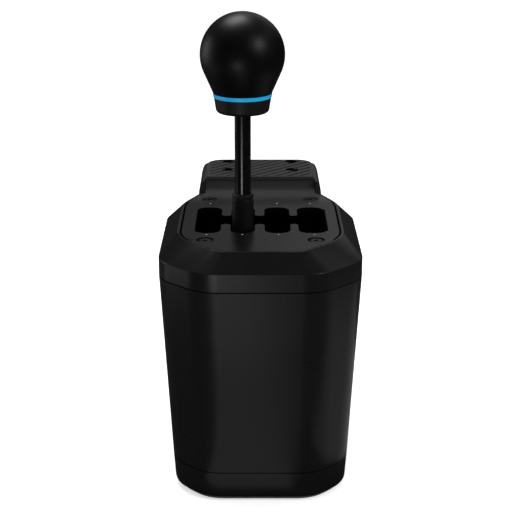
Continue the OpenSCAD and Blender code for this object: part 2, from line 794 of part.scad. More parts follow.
// Bracket: the hook on the desk, the back plate against the housing and the arm below the desk
module clamp_bracket() {
    color([0.15, 0.15, 0.16]) difference() {
        union() {
            intersection() {
                translate([0, hook_y, 0]) rotate([90, 0, 0])
                    linear_extrude(hook_y - hook_front_y) polygon(hook_section);
                round_box([-hook_w / 2, hook_front_y - 2 * hook_corner_r, 0],
                    [hook_w / 2, hook_y, hook_top_z], hook_corner_r);
            }
            translate([-back_plate_w / 2, 0, arm_base])
                cube([back_plate_w, back_face_y, hook_base_z - arm_base + cut]);
            round_box([-arm_w / 2, 0, arm_base], [arm_w / 2, arm_y, arm_top], hook_corner_r);
        }
        housing_space(seat);
        translate([-tab_w / 2 - seam_gap, 0, ledge_z - seam_gap])
            cube([tab_w + 2 * seam_gap, ramp_end(ramp_r + ramp_t)[0] + seam_gap, plate_z]);
        at_hook_bolts() cylinder(d = hook_bolt_d, h = hook_top_z);
        translate([0, clamp_y, 0]) cylinder(r = clamp_nut_r + seat, h = clamp_pad_z);
        at_bracket_screws() {
            translate([0, 0, -cut]) cylinder(d = screw_hole_d, h = back_face_y);
            translate([0, 0, -cut]) cylinder(d = counterbore_d, h = bracket_head_depth + cut);
        }
    }
}

module bracket_screws() {
    color("silver")
        at_bracket_screws()
            translate([0, 0, bracket_head_depth]) rotate([180, 0, 0])
                screw(bracket_screw_l - bracket_head_depth);
}

// Rubber pad on top of the hook with slanted ribs
module hook_grip_pad() {
    rear_y = hook_y - grip_inset;
    corner_r = hook_corner_r - grip_inset;
    steps = ceil((grip_w + rear_y - grip_front_y) / rib_pitch / 2);
    color([0.25, 0.25, 0.25]) difference() {
        intersection() {
            round_box([-grip_w / 2, grip_front_y - 2 * hook_corner_r, hook_solid_z],
                [grip_w / 2, rear_y, hook_top_z], corner_r);
            translate([-grip_w, grip_front_y, 0]) cube([2 * grip_w, hook_y, 2 * hook_top_z]);
        }
        intersection() {
            for (i = [-steps:steps])
                translate([i * rib_pitch, (grip_front_y + rear_y) / 2, hook_top_z])
                    rotate([0, 0, groove_turn])
                        cube([2 * body_d, groove_w, 2 * groove_depth], center = true);
            round_box([groove_margin - grip_w / 2, grip_front_y + groove_margin, 0],
                [grip_w / 2 - groove_margin, rear_y - groove_margin, 2 * hook_top_z],
                corner_r - groove_margin);
        }
        at_hook_bolts() cylinder(d = pad_hole_d, h = 2 * hook_top_z);
    }
}

// Rubber pad between the hook and the desk
module hook_under_pad() {
    color("dimgray") difference() {
        round_box([-under_pad_w / 2, back_face_y + back_pad_t + pad_gap / 2, under_pad_z],
            [under_pad_w / 2, hook_y - grip_inset, hook_base_z], hook_corner_r - grip_inset);
        at_hook_bolts() cylinder(d = pad_hole_d, h = hook_top_z);
    }
}

// Rubber strip that meets the edge of the desk
module back_pad() {
    color("dimgray")
        translate([-back_pad_w / 2, back_face_y, arm_top + back_pad_inset])
            cube([back_pad_w, back_pad_t, under_pad_z - arm_top - 2 * back_pad_inset]);
}

// Threaded bush in the arm
module clamp_nut() {
    color("goldenrod") difference() {
        translate([0, clamp_y, arm_base]) cylinder(r = clamp_nut_r, h = arm_t);
        translate([0, clamp_y, 0]) cylinder(d = clamp_screw_d + 2 * run_gap, h = hook_base_z);
    }
}

// Yoke that swings across the gates and carries the lever's cross pin
module gimbal_yoke() {
    x = yoke_window_x + yoke_wall;
    y = yoke_window_y + yoke_wall;
    color("lightsteelblue") difference() {
        union() {
            translate([lever_x, 0, pivot_z - yoke_h / 2])
                round_box([-x, -y, 0], [x, y, yoke_h], yoke_wall / 2);
            for (py = [-gear_post, gear_post], pz = [-gear_post, gear_post])
                translate([lever_x + x - cut, py, pivot_z + pz])
                    rotate([0, 90, 0]) cylinder(r = board_pin_r, h = gear_board_x - x + cut);
        }
        translate([lever_x - yoke_window_x, -yoke_window_y, 0])
            cube([2 * yoke_window_x, 2 * yoke_window_y, plate_z]);
        axle_along_y(select_axle_d / 2 + seat, -2 * y, -axle_start);
        axle_along_y(select_axle_d / 2 + seat, axle_start, 2 * y);
        pin_along_x(lever_bush_r + seat, -2 * x, 2 * x);
    }
}

// Stub axles pressed into the ends of the yoke
module select_axles() {
    color("silver") {
        axle_along_y(select_axle_d / 2, -axle_end, -axle_start);
        axle_along_y(select_axle_d / 2, axle_start, axle_end);
    }
}

module select_magnet() {
    color("dimgray") axle_along_y(magnet_r, axle_end, axle_end + magnet_t);
}

// Flanged bushes in the yoke's side walls
module lever_bushes() {
    color("goldenrod")
        for (side = [0, 1])
            translate([lever_x, 0, 0]) mirror([side, 0, 0]) translate([-lever_x, 0, 0])
                difference() {
                    union() {
                        pin_along_x(lever_bush_r, yoke_window_x - eps, yoke_window_x + yoke_wall);
                        pin_along_x(flange_r, yoke_window_x - flange_t, yoke_window_x);
                    }
                    pin_along_x(lever_pin_d / 2 + run_gap, 0, 2 * lever_pin_end);
                }
}

// Small board on the yoke that reads the turn of the cross pin
module gear_sensor_board() {
    color("darkgreen")
        translate([lever_x + gear_board_x, -gear_board_w / 2, pivot_z - gear_board_h / 2])
            cube([board_t, gear_board_w, gear_board_h]);
}

// Hub that ties the rod to the cross pin and guides the detent plunger
module lever_hub() {
    color("darkgray") difference() {
        union() {
            translate([lever_x - hub_x, -hub_y, pivot_z - hub_y])
                cube([2 * hub_x, 2 * hub_y, 2 * hub_y]);
            translate([lever_x, 0, pivot_z - hub_base]) cylinder(r = hub_stem_r, h = hub_base);
            translate([lever_x, 0, pivot_z]) cylinder(r = hub_neck_r, h = hub_top);
        }
        pin_along_x(lever_pin_d / 2 + seat, -2 * hub_x, 2 * hub_x);
        translate([lever_x, 0, rod_base_z]) cylinder(r = rod_r + seat, h = hub_top);
        translate([lever_x, 0, pivot_z - hub_base - eps])
            cylinder(r = plunger_r + run_gap, h = plunger_bore_depth + eps);
    }
}

module lever_pin() {
    color("silver") pin_along_x(lever_pin_d / 2, -lever_pin_end, lever_pin_end);
}

module gear_magnet() {
    color("dimgray") pin_along_x(magnet_r, lever_pin_end, lever_pin_end + magnet_t);
}

module lever_rod() {
    color([0.05, 0.05, 0.05])
        translate([lever_x, 0, rod_base_z]) cylinder(r = rod_r, h = insert_top_z - rod_base_z);
}

// Sleeve over the rod with a groove under its rim
module lever_sleeve() {
    rim_z = sleeve_top_z - sleeve_rim_h;
    groove_r = sleeve_r - sleeve_groove_depth;
    color([0.13, 0.13, 0.13])
        translate([lever_x, 0, 0]) rotate_extrude() polygon([
            [rod_r + seat, hub_top_z], [sleeve_r, hub_top_z],
            [sleeve_r, rim_z - sleeve_groove_h], [groove_r, rim_z - sleeve_groove_h],
            [groove_r, rim_z], [sleeve_r, rim_z],
            [sleeve_r, sleeve_top_z - sleeve_groove_depth], [groove_r, sleeve_top_z],
            [rod_r + seat, sleeve_top_z]
        ]);
}

// Threaded insert that joins the knob to the rod
module knob_insert() {
    color("goldenrod")
        translate([lever_x, 0, insert_base_z]) difference() {
            cylinder(r = insert_r, h = insert_top_z - insert_base_z);
            translate([0, 0, -cut]) cylinder(r = rod_r + seat, h = knob_h);
        }
}

// Collar under the coloured ring, with a round lower edge
module knob_collar() {
    edge_mid = [collar_r - collar_edge, collar_z + collar_edge];
    color([0.13, 0.13, 0.13])
        translate([lever_x, 0, 0]) rotate_extrude() polygon(concat(
            [[rod_r + move_gap, collar_z]],
            [for (a = [0:edge_step:90]) edge_mid + collar_edge * [sin(a), -cos(a)]],
            [[ring_r - collar_step, ring_z], [insert_r + seat, ring_z], [insert_r + seat, insert_base_z],
            [rod_r + move_gap, insert_base_z]]
        ));
}

module knob_ring() {
    color([0.05, 0.55, 0.8])
        translate([lever_x, 0, ring_z]) difference() {
            cylinder(r1 = ring_r - ring_flare, r2 = ring_r, h = ring_t);
            translate([0, 0, -cut]) cylinder(r = insert_r + seat, h = ring_t + 2 * cut);
        }
}

// Where the knob's straight flank runs into its round top: the tangent from the ring's upper edge
flank_drop = knob_z - knob_base_z;
flank_turn = atan2(ring_r, flank_drop) + acos(knob_r / norm([ring_r, flank_drop]));

// Knob: a round top that narrows straight down to the ring
module knob_body() {
    top_turn = 180 - flank_turn;
    color([0.05, 0.05, 0.05])
        translate([lever_x, 0, knob_z]) rotate_extrude() polygon(concat(
            [[0, insert_top_z - knob_z], [insert_r + seat, insert_top_z - knob_z],
            [insert_r + seat, -flank_drop], [ring_r, -flank_drop]],
            [for (a = [top_turn:-knob_step:knob_step]) [knob_r * sin(a), knob_r * cos(a)]],
            [[0, knob_r]]
        ));
}

// Sprung plunger with a round tip that runs in the cradle
module detent_plunger() {
    nose_h = hub_base - tip_reach + ball_r;
    color("silver")
        translate([lever_x, 0, pivot_z - hub_base]) {
            cylinder(r = plunger_r, h = plunger_in);
            translate([0, 0, nose_h]) cylinder(r1 = ball_r, r2 = plunger_r, h = -nose_h + eps);
            translate([0, 0, nose_h]) sphere(r = ball_r);
        }
}

module detent_spring() {
    z = pivot_z - hub_base + plunger_in;
    gap = plunger_bore_depth - plunger_in;
    color("gray")
        translate([lever_x, 0, z]) difference() {
            cylinder(r = detent_spring_r, h = gap);
            translate([0, 0, -cut]) cylinder(r = detent_spring_r - detent_wire, h = gap + 2 * cut);
        }
}

// Pressure pad on the end of the clamp screw
module clamp_pad() {
    color([0.15, 0.15, 0.16])
        translate([0, clamp_y, clamp_pad_z]) difference() {
            cylinder(d = clamp_pad_d, h = clamp_pad_t);
            translate([0, 0, -cut]) cylinder(d = clamp_tip_d + 2 * run_gap, h = clamp_tip_h + cut);
        }
}

module clamp_pad_facing() {
    color("dimgray")
        translate([0, clamp_y, facing_z - facing_t])
            cylinder(d = clamp_pad_d - 2 * facing_inset, h = facing_t);
}

// Clamp screw with a plain tip that turns in the pressure pad
module clamp_screw() {
    shoulder_z = clamp_pad_z - move_gap;
    base_z = star_top - screw_grip_h;
    color("silver")
        translate([0, clamp_y, 0]) {
            translate([0, 0, base_z]) cylinder(d = clamp_screw_d, h = shoulder_z - base_z);
            translate([0, 0, shoulder_z - eps])
                cylinder(d = clamp_tip_d, h = clamp_tip_h + move_gap - run_gap + eps);
        }
}

// Star grip on the lower end of the clamp screw
module clamp_knob() {
    lobe_reach = star_d / 2 - star_lobe_r;
    color([0.12, 0.12, 0.13])
        translate([0, clamp_y, star_base]) difference() {
            union() {
                cylinder(r = lobe_reach, h = star_h);
                for (i = [0:star_lobes - 1])
                    rotate([0, 0, i * 360 / star_lobes]) translate([lobe_reach, 0, 0])
                        cylinder(r = star_lobe_r, h = star_h);
            }
            translate([0, 0, star_h - screw_grip_h]) cylinder(d = clamp_screw_d + 2 * seat, h = star_h);
        }
}

base_pad();
base_cover();
base_screws();
main_shell();
top_bezel();
gate_plate();
plate_screws();
chassis_frame();
chassis_screws();
select_bushes();
detent_cradle();
select_springs();
select_sensor_board();
main_board();
usb_port();
clamp_bracket();
bracket_screws();
hook_grip_pad();
hook_under_pad();
back_pad();
clamp_nut();
gimbal_yoke();
select_axles();
select_magnet();
lever_bushes();
gear_sensor_board();
lever_hub();
lever_pin();
gear_magnet();
lever_rod();
lever_sleeve();
knob_insert();
knob_collar();
knob_ring();
knob_body();
detent_plunger();
detent_spring();
clamp_pad();
clamp_pad_facing();
clamp_screw();
clamp_knob();
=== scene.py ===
"""H-pattern gear shifter for a racing simulator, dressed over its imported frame.

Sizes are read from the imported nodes, so each piece sits where its node sits.
"""
import json
import logging
import math
from dataclasses import dataclass
from enum import Enum, IntEnum
from typing import Callable, Optional, Sequence

import bmesh
import bpy
from mathutils import Matrix, Vector


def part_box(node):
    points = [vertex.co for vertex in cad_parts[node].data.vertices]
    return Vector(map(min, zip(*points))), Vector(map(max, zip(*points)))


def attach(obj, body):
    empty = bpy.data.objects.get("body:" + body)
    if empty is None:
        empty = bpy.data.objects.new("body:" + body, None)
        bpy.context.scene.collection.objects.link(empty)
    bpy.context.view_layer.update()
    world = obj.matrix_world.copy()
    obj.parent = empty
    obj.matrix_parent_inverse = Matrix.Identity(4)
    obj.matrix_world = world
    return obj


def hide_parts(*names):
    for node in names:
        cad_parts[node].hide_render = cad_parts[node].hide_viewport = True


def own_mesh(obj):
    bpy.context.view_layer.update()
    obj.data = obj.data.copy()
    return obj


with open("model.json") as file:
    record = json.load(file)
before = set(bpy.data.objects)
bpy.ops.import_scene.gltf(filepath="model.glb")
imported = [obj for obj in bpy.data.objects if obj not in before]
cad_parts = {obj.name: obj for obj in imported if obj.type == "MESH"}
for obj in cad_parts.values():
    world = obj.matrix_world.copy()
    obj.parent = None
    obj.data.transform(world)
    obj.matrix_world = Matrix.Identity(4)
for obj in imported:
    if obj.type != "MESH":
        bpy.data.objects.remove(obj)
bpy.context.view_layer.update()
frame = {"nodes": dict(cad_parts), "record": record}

LOG = logging.getLogger("shifter")
MM = 0.001
FULL_TURN = 2.0 * math.pi
WHITE = (1.0, 1.0, 1.0, 1.0)
WELD = 0.002 * MM
AXIS_WELD = 0.001 * MM
FLAT_ANGLE = math.radians(0.3)
INWARD_SHARE = -0.2
OUTWARD_SHARE = 0.3
WIRE_SIDES = 10
SHARP_ANGLE = 40.0
ROUND_PROFILE = 0.5
Color = tuple[float, float, float]
EdgePick = Callable[[bmesh.types.BMEdge], bool]


class Grain(Enum):
    """What makes the fine relief of a finish."""

    MOULDED = "Moulded grain"
    POWDER = "Powder coat"
    TURNED = "Turned lines"


class FaceSlot(IntEnum):
    """Material slots that follow a piece's main finish: painted shade, and painted light for the
    plate's ramp.
    """

    SHADE = 1
    RAMP = 2


class GroupBuilder:
    """Builds the shader node groups that the finishes share, each of them once."""

    TONE_DETAIL = 4.0
    FINE_DETAIL = 3.0
    LATHE_SQUEEZE = (0.04, 0.04, 1.0)

    @staticmethod
    def start(name: str, inputs: Sequence[tuple[str, str, object]],
              outputs: Sequence[tuple[str, str]]) -> bpy.types.NodeTree:
        """Makes an empty group with its sockets.

        Args:
            name: The group's name.
            inputs: Name, socket type and default value of each input.
            outputs: Name and socket type of each output.

        Returns:
            The group, with its input and output nodes in place.
        """
        group = bpy.data.node_groups.new(name, "ShaderNodeTree")
        for label, kind, value in inputs:
            socket = group.interface.new_socket(label, in_out="INPUT", socket_type=kind)
            socket.default_value = value
        for label, kind in outputs:
            group.interface.new_socket(label, in_out="OUTPUT", socket_type=kind)
        group.nodes.new("NodeGroupInput").name = "In"
        group.nodes.new("NodeGroupOutput").name = "Out"
        return group

    @staticmethod
    def noise(group: bpy.types.NodeTree, vector: bpy.types.NodeSocket,
              scale: bpy.types.NodeSocket, detail: float) -> bpy.types.Node:
        """Adds a noise texture.

        Args:
            group: The group to add to.
            vector: The coordinates that it reads.
            scale: The socket that gives its scale.
            detail: How many finer layers it has.

        Returns:
            The noise node.
        """
        node = group.nodes.new("ShaderNodeTexNoise")
        node.inputs["Detail"].default_value = detail
        group.links.new(vector, node.inputs["Vector"])
        group.links.new(scale, node.inputs["Scale"])
        return node

    @classmethod
    def tone_drift(cls) -> bpy.types.NodeTree:
        """Returns the group that lets a colour and its roughness drift over the surface."""
        name = "Tone drift"
        if name in bpy.data.node_groups:
            return bpy.data.node_groups[name]
        number = "NodeSocketFloat"
        group = cls.start(
            name,
            [("Color", "NodeSocketColor", (0.5, 0.5, 0.5, 1.0)), ("Drift", number, 0.1),
             ("Scale", number, 50.0), ("Roughness", number, 0.5), ("Smudge", number, 0.05)],
            [("Color", "NodeSocketColor"), ("Roughness", number)])
        source, sink = group.nodes["In"], group.nodes["Out"]
        coords = group.nodes.new("ShaderNodeTexCoord")
        tone = cls.noise(group, coords.outputs["Object"], source.outputs["Scale"], cls.TONE_DETAIL)
        swing = group.nodes.new("ShaderNodeMath")
        swing.operation = "MULTIPLY_ADD"
        swing.inputs[1].default_value = 2.0
        swing.inputs[2].default_value = -1.0
        group.links.new(tone.outputs["Fac"], swing.inputs[0])
        gain = group.nodes.new("ShaderNodeMath")
        gain.operation = "MULTIPLY_ADD"
        gain.inputs[2].default_value = 1.0
        group.links.new(swing.outputs[0], gain.inputs[0])
        group.links.new(source.outputs["Drift"], gain.inputs[1])
        scaled = group.nodes.new("ShaderNodeVectorMath")
        scaled.operation = "SCALE"
        group.links.new(source.outputs["Color"], scaled.inputs[0])
        group.links.new(gain.outputs[0], scaled.inputs["Scale"])
        group.links.new(scaled.outputs["Vector"], sink.inputs["Color"])
        rough = group.nodes.new("ShaderNodeMath")
        rough.operation = "MULTIPLY_ADD"
        group.links.new(swing.outputs[0], rough.inputs[0])
        group.links.new(source.outputs["Smudge"], rough.inputs[1])
        group.links.new(source.outputs["Roughness"], rough.inputs[2])
        group.links.new(rough.outputs[0], sink.inputs["Roughness"])
        return group

    @classmethod
    def relief(cls, grain: Grain) -> bpy.types.NodeTree:
        """Builds the fine relief of a grain.

        Args:
            grain: The kind of relief.

        Returns:
            A group with a scale going in and a height coming out.
        """
        if grain.value in bpy.data.node_groups:
            return bpy.data.node_groups[grain.value]
        group = cls.start(grain.value, [("Scale", "NodeSocketFloat", 1000.0)],
                          [("Height", "NodeSocketFloat")])
        source, sink = group.nodes["In"], group.nodes["Out"]
        vector = group.nodes.new("ShaderNodeTexCoord").outputs["Object"]
        if grain is Grain.TURNED:
            squeeze = group.nodes.new("ShaderNodeMapping")
            squeeze.inputs["Scale"].default_value = cls.LATHE_SQUEEZE
            group.links.new(vector, squeeze.inputs["Vector"])
            vector = squeeze.outputs["Vector"]
        fine = cls.noise(group, vector, source.outputs["Scale"], cls.FINE_DETAIL)
        if grain is not Grain.MOULDED:
            group.links.new(fine.outputs["Fac"], sink.inputs["Height"])
            return group
        cells = group.nodes.new("ShaderNodeTexVoronoi")
        cells.feature = "SMOOTH_F1"
        group.links.new(vector, cells.inputs["Vector"])
        group.links.new(source.outputs["Scale"], cells.inputs["Scale"])
        both = group.nodes.new("ShaderNodeMath")
        both.operation = "ADD"
        group.links.new(fine.outputs["Fac"], both.inputs[0])
        group.links.new(cells.outputs["Distance"], both.inputs[1])
        group.links.new(both.outputs[0], sink.inputs["Height"])
        return group


@dataclass(frozen=True)
class Finish:
    """One surface finish, with the record's slot that it belongs to."""

    name: str
    slot: str
    color: Color
    roughness: float
    specular: float = 0.5
    metallic: float = 0.0
    drift: float = 0.12
    drift_scale: float = 45.0
    smudge: float = 0.05
    grain: Grain = Grain.MOULDED
    grain_scale: float = 1500.0
    grain_depth: float = 0.02 * MM
    # Painted light: a lighter colour that the finish turns into towards the rear.
    rear_painted_light: Optional[Color] = None
    painted_light_span: tuple[float, float] = (0.0, 1.0)

    def paint_rear_light(self, made: bpy.types.Material, front: bpy.types.NodeSocket) -> bpy.types.NodeSocket:
        """Paints light in: lets a colour turn into a lighter rear colour from front to rear,
        standing in for the brighter light on the rear of the piece.

        Args:
            made: The material to add to.
            front: The socket that gives the front colour.

        Returns:
            The socket that gives the mixed colour.
        """
        nodes, links = made.node_tree.nodes, made.node_tree.links
        coords = nodes.new("ShaderNodeTexCoord")
        split = nodes.new("ShaderNodeSeparateXYZ")
        links.new(coords.outputs["Object"], split.inputs["Vector"])
        span = nodes.new("ShaderNodeMapRange")
        span.interpolation_type = "SMOOTHSTEP"
        start, end = self.painted_light_span
        span.inputs["From Min"].default_value = start
        span.inputs["From Max"].default_value = end
        links.new(split.outputs["Y"], span.inputs["Value"])
        mixed = nodes.new("ShaderNodeMix")
        mixed.data_type = "RGBA"
        mixed.inputs["B"].default_value = (*self.rear_painted_light, 1.0)
        links.new(span.outputs["Result"], mixed.inputs["Factor"])
        links.new(front, mixed.inputs["A"])
        return mixed.outputs["Result"]

    def material(self) -> bpy.types.Material:
        """Returns the finish's material, made at its first use."""
        if self.name in bpy.data.materials:
            return bpy.data.materials[self.name]
        made = bpy.data.materials.new(self.name)
        made.use_nodes = True
        nodes, links = made.node_tree.nodes, made.node_tree.links
        shader = nodes["Principled BSDF"]
        shader.inputs["Specular IOR Level"].default_value = self.specular
        shader.inputs["Metallic"].default_value = self.metallic
        tone = nodes.new("ShaderNodeGroup")
        tone.node_tree = GroupBuilder.tone_drift()
        tone.inputs["Color"].default_value = (*self.color, 1.0)
        tone.inputs["Drift"].default_value = self.drift
        tone.inputs["Scale"].default_value = self.drift_scale
        tone.inputs["Roughness"].default_value = self.roughness
        tone.inputs["Smudge"].default_value = self.smudge
        shade = tone.outputs["Color"]
        # Painted light: the colour lightens towards the rear.
        if self.rear_painted_light:
            shade = self.paint_rear_light(made, shade)
        links.new(shade, shader.inputs["Base Color"])
        links.new(tone.outputs["Roughness"], shader.inputs["Roughness"])
        relief = nodes.new("ShaderNodeGroup")
        relief.node_tree = GroupBuilder.relief(self.grain)
        relief.inputs["Scale"].default_value = self.grain_scale
        bump = nodes.new("ShaderNodeBump")
        bump.inputs["Distance"].default_value = self.grain_depth
        links.new(relief.outputs["Height"], bump.inputs["Height"])
        links.new(bump.outputs["Normal"], shader.inputs["Normal"])
        return made


HOUSING_BLACK = Finish("Housing black", "shell", (0.0045, 0.0045, 0.0047), 0.29, specular=0.26)
BEZEL_BLACK = Finish("Bezel black", "bezel", (0.0045, 0.0045, 0.0047), 0.29, specular=0.26)
# The plate coat's colour is painted lighter towards the rear: painted light on the rear of the
# plate.
PLATE_COAT = Finish("Plate coat", "plate", (0.004, 0.004, 0.0041), 0.23, specular=0.2,
                    grain=Grain.POWDER, grain_scale=2600.0,
                    rear_painted_light=(0.033, 0.033, 0.0335), painted_light_span=(36.0 * MM, 60.0 * MM))
# Painted light: a lighter, matt copy of the plate coat for the plate's ramp faces.
RAMP_PAINTED_LIGHT = Finish("Ramp painted light", "plate", (0.026, 0.026, 0.0264), 0.5, specular=0.05,
                   grain=Grain.POWDER, grain_scale=2600.0)
# Painted shade: near-black for the slot walls, the groove beside the plate's rim and the grip pad's
# bolt holes.
PAINTED_SHADE = Finish("Painted shade", "plate", (0.0012, 0.0012, 0.0012), 0.7, specular=0.01,
                    grain=Grain.POWDER, grain_scale=2600.0)
MARK_PAINT = Finish("Mark paint", "plate", (0.4, 0.4, 0.39), 0.6, grain=Grain.POWDER)
SCREW_BLACK = Finish("Blackened steel", "screw", (0.02, 0.02, 0.0205), 0.34, metallic=1.0,
                     grain=Grain.TURNED)
ROD_GLOSS = Finish("Gloss black bar", "rod", (0.0015, 0.0015, 0.0016), 0.2, specular=0.4,
                   grain=Grain.POWDER, grain_depth=0.002 * MM)
SLEEVE_MATT = Finish("Matt sleeve", "sleeve", (0.005, 0.005, 0.0052), 0.45, specular=0.2)
KNOB_SATIN = Finish("Satin knob", "knob", (0.0013, 0.0013, 0.0014), 0.41, specular=0.17,
                    grain_scale=2400.0, grain_depth=0.006 * MM)
RING_BLUE = Finish("Ring blue", "ring", (0.004, 0.29, 0.56), 0.35, specular=0.2, drift=0.05)
PAD_GREY = Finish("Foot rubber", "rubber", (0.13, 0.13, 0.132), 0.7, specular=0.3)
GRIP_RUBBER = Finish("Grip rubber", "grip", (0.027, 0.027, 0.0272), 0.5, specular=0.1)
BRACKET_COAT = Finish("Bracket coat", "bracket", (0.016, 0.016, 0.0162), 0.4, specular=0.25,
                      grain=Grain.POWDER, grain_scale=2600.0)
CHASSIS_STEEL = Finish("Chassis steel", "chassis", (0.45, 0.46, 0.48), 0.4, metallic=1.0,
                       grain=Grain.TURNED, grain_scale=900.0)
YOKE_ALLOY = Finish("Yoke alloy", "yoke", (0.6, 0.6, 0.62), 0.38, metallic=1.0,
                    grain=Grain.TURNED, grain_scale=900.0)
BUSH_BRASS = Finish("Bush brass", "bush", (0.6, 0.42, 0.16), 0.35, metallic=1.0,
                    grain=Grain.TURNED, grain_scale=900.0)
GROUND_STEEL = Finish("Ground steel", "axle", (0.5, 0.5, 0.5), 0.3, metallic=1.0,
                      grain=Grain.TURNED, grain_scale=1200.0)
SPRING_STEEL = Finish("Spring steel", "spring", (0.4, 0.4, 0.4), 0.35, metallic=1.0,
                      grain=Grain.TURNED)
DETENT_PLASTIC = Finish("Detent plastic", "detent", (0.75, 0.72, 0.65), 0.5)
PLATED_METAL = Finish("Plated metal", "magnet", (0.6, 0.6, 0.6), 0.25, metallic=1.0,
                      grain=Grain.POWDER)
BOARD_GREEN = Finish("Board green", "board", (0.02, 0.16, 0.06), 0.35, drift=0.35,
                     drift_scale=260.0, grain=Grain.POWDER)


def body_of(node: str) -> str:
    """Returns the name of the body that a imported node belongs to."""
    bodies = frame["record"]["behaviour"]["bodies"]
    return next(body for body, members in bodies.items() if node in members)


def dress(finish: Finish, *nodes: str) -> None:
    """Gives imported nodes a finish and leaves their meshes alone.

    Args:
        finish: The finish that they get.
        *nodes: Names of the nodes.
    """
    for node in nodes:
        slots = frame["nodes"][node].data.materials
        slots.clear()
        slots.append(finish.material())
        LOG.info("dressed %s in %s", node, finish.name)


def place(name: str, form: bmesh.types.BMesh, finish: Finish, body: str,
          replaced: Sequence[str] = (), crease: float = 32.0,
          flat_faces: bool = True) -> bpy.types.Object:
    """Turns a finished form into a piece that rides on a body.

    Args:
        name: The piece's name.
        form: Its shape, which is freed here.
        finish: Its finish.
        body: The body that it rides on.
        replaced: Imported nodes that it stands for.
        crease: Angle in degrees from which an edge looks sharp.
        flat_faces: Whether large faces keep their own normals.

    Returns:
        The new object.
    """
    mesh = bpy.data.meshes.new(name)
    form.to_mesh(mesh)
    form.free()
    mesh.shade_smooth()
    mesh.set_sharp_from_angle(angle=math.radians(crease))
    mesh.materials.append(finish.material())
    piece = bpy.data.objects.new(name, mesh)
    bpy.context.scene.collection.objects.link(piece)
    if flat_faces:
        weighted = piece.modifiers.new("Flat faces", "WEIGHTED_NORMAL")
        weighted.keep_sharp = True
    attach(piece, body)
    if replaced:
        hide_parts(*replaced)
    LOG.info("made %s on %s", name, body)
    return piece


def merged(node: str) -> bmesh.types.BMesh:
    """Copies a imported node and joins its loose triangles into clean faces.

    Args:
        node: The node's name.

    Returns:
        The copy.
    """
    form = bmesh.new()
    form.from_mesh(frame["nodes"][node].data)
    bmesh.ops.remove_doubles(form, verts=form.verts, dist=WELD)
    bmesh.ops.dissolve_degenerate(form, dist=WELD, edges=form.edges)
    bmesh.ops.dissolve_limit(form, angle_limit=FLAT_ANGLE, verts=form.verts, edges=form.edges)
    bmesh.ops.connect_verts_concave(form, faces=form.faces)
    return form


def soften(form: bmesh.types.BMesh, width: float, pick: EdgePick, segments: int = 2) -> None:
    """Rounds the edges that a test picks.

    Args:
        form: The shape to work on.
        width: Width of the rounding.
        pick: Test that says which edges are rounded.
        segments: How many steps the rounding has.
    """
    edges = [e for e in form.edges if e.is_manifold and pick(e)]
    bmesh.ops.bevel(form, geom=edges, offset=width, offset_type="OFFSET", segments=segments,
                    profile=ROUND_PROFILE, affect="EDGES", clamp_overlap=True, material=-1)


def sharp(edge: bmesh.types.BMEdge, degrees: float = SHARP_ANGLE) -> bool:
    """Tells whether the faces beside an edge meet at more than an angle."""
    return edge.calc_face_angle(0.0) > math.radians(degrees)


def middle(edge: bmesh.types.BMEdge) -> Vector:
    """Returns the middle of an edge."""
    return (edge.verts[0].co + edge.verts[1].co) / 2.0


def outside(edge: bmesh.types.BMEdge) -> bool:
    """Tells whether an edge lies on the outer side of an upright shell."""
    away = middle(edge).to_2d()
    faces = [f.normal.to_2d().dot(away) for f in edge.link_faces]
    return (min(faces) > INWARD_SHARE * away.length
            and max(faces) > OUTWARD_SHARE * away.length)


def at_level(height: float, play: float, degrees: float = SHARP_ANGLE) -> EdgePick:
    """Makes a test for sharp edges at a height.

    Args:
        height: The height.
        play: How far the ends of an edge may be off.
        degrees: Angle from which an edge counts as sharp.

    Returns:
        The test.
    """
    def pick(edge: bmesh.types.BMEdge) -> bool:
        """Tells whether an edge is sharp and has both ends at the height."""
        return sharp(edge, degrees) and all(abs(v.co.z - height) < play for v in edge.verts)
    return pick


def cut_level(form: bmesh.types.BMesh, height: float) -> None:
    """Takes off what lies below a height and closes the cut.

    Args:
        form: The shape to cut.
        height: Height of the cut.
    """
    everything = form.verts[:] + form.edges[:] + form.faces[:]
    made = bmesh.ops.bisect_plane(form, geom=everything, plane_co=(0.0, 0.0, height),
                                  plane_no=(0.0, 0.0, 1.0), clear_inner=True)
    rim = [g for g in made["geom_cut"] if isinstance(g, bmesh.types.BMEdge)]
    bmesh.ops.triangle_fill(form, use_beauty=True, use_dissolve=True, edges=rim,
                            normal=(0.0, 0.0, -1.0))


